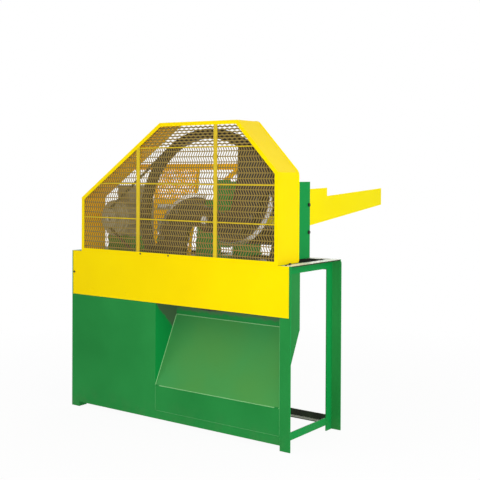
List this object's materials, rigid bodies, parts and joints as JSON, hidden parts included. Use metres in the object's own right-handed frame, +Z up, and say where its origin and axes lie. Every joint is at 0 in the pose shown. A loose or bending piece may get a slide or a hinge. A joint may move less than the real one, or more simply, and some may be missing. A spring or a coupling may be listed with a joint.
{
  "type": "chaff cutter",
  "caption": "Motor-driven chaff cutter: knife wheel behind a mesh guard, belt drive, toothed feed rollers with a trough behind, and a discharge chute in a sheet-metal stand.",
  "frame": {"origin": "on the floor, at the middle of the bounding box's base", "axes": "+X along the stand's front towards the knife wheel's side, +Y from the front to the feed trough, +Z up"},
  "size_m": [1.28, 1.095, 1.37],
  "materials": {
    "yellow_paint": "gloss yellow enamel on sheet steel",
    "mesh_paint": "thin dull yellow paint on expanded steel",
    "green_paint": "gloss green enamel on steel",
    "dark_iron": "dark brown-black cast iron",
    "bare_steel": "bare machined steel",
    "motor_paint": "grey-green motor enamel",
    "dark_steel": "blackened steel fasteners",
    "fan_plastic": "black moulded plastic",
    "belt_rubber": "black belt rubber",
    "bush_bronze": "bronze bushes"
  },
  "bodies": {
    "machine": {"leg_front_left": "green_paint", "leg_front_right": "green_paint", "leg_rear_left": "green_paint", "leg_rear_right": "green_paint", "top_rail_front": "green_paint", "top_rail_rear": "green_paint", "top_rail_left": "green_paint", "top_rail_right": "green_paint", "bottom_rail_front": "green_paint", "bottom_rail_rear": "green_paint", "bottom_rail_left": "green_paint", "bottom_rail_right": "green_paint", "bed_beam": "green_paint", "front_panel_left": "green_paint", "front_panel_lower": "green_paint", "chute_slide": "green_paint", "chute_back": "green_paint", "chute_left_wall": "green_paint", "chute_right_wall": "green_paint", "apron": "yellow_paint", "guard_hood": "yellow_paint", "guard_front_frame": "yellow_paint", "guard_mesh": "mesh_paint", "guard_bars": "yellow_paint", "guard_rods": "yellow_paint", "rear_guard_bars": "yellow_paint", "rear_guard_panel": "yellow_paint", "rear_tie_rod": "bare_steel", "cover_screws": "dark_steel", "motor_rails": "green_paint", "motor_frame": "motor_paint", "motor_front_bell": "motor_paint", "motor_rear_bell": "motor_paint", "motor_fan_cover": "motor_paint", "motor_stator": "bare_steel", "terminal_box": "motor_paint", "motor_bolts": "bare_steel", "drive_belt": "belt_rubber", "bearing_stand": "green_paint", "shaft_bearings": "dark_iron", "throat_plate_left": "green_paint", "throat_plate_right": "green_paint", "throat_mouth": "dark_iron", "roller_bushes": "bush_bronze", "feed_trough": "yellow_paint", "trough_bolts": "dark_steel"},
    "knife_rotor": {"main_shaft": "bare_steel", "knife_wheel": "dark_iron", "knife_one": "bare_steel", "knife_two": "bare_steel", "knife_bolts": "bare_steel", "wheel_nut": "bare_steel", "feed_worm": "bare_steel"},
    "motor_armature": {"motor_rotor": "bare_steel", "motor_pulley": "motor_paint", "motor_fan": "fan_plastic"},
    "lower_feed": {"feed_roller_lower": "dark_iron", "feed_gear_lower": "dark_iron"},
    "upper_feed": {"feed_roller_upper": "dark_iron", "feed_gear_upper": "dark_iron"}
  },
  "joints": [
    {"name": "wheel_spin", "type": "hinge", "parent": "machine", "child": "knife_rotor", "pos_m": [0.156, -0.4645, 0.935], "axis": [0, 1, 0], "continuous": true},
    {"name": "motor_spin", "type": "hinge", "parent": "machine", "child": "motor_armature", "pos_m": [-0.458, -0.4645, 0.922], "axis": [0, 1, 0], "continuous": true},
    {"name": "lower_roller_spin", "type": "hinge", "parent": "machine", "child": "lower_feed", "pos_m": [0.3515, -0.3103, 0.867], "axis": [1, 0, 0], "continuous": true},
    {"name": "upper_roller_spin", "type": "hinge", "parent": "machine", "child": "upper_feed", "pos_m": [0.3515, -0.3103, 1.003], "axis": [1, 0, 0], "continuous": true}
  ],
  "couplings": [
    {"joint": "motor_spin", "follows": "wheel_spin", "ratio": 9.938},
    {"joint": "lower_roller_spin", "follows": "wheel_spin", "ratio": 0.047619},
    {"joint": "upper_roller_spin", "follows": "wheel_spin", "ratio": -0.047619}
  ]
}
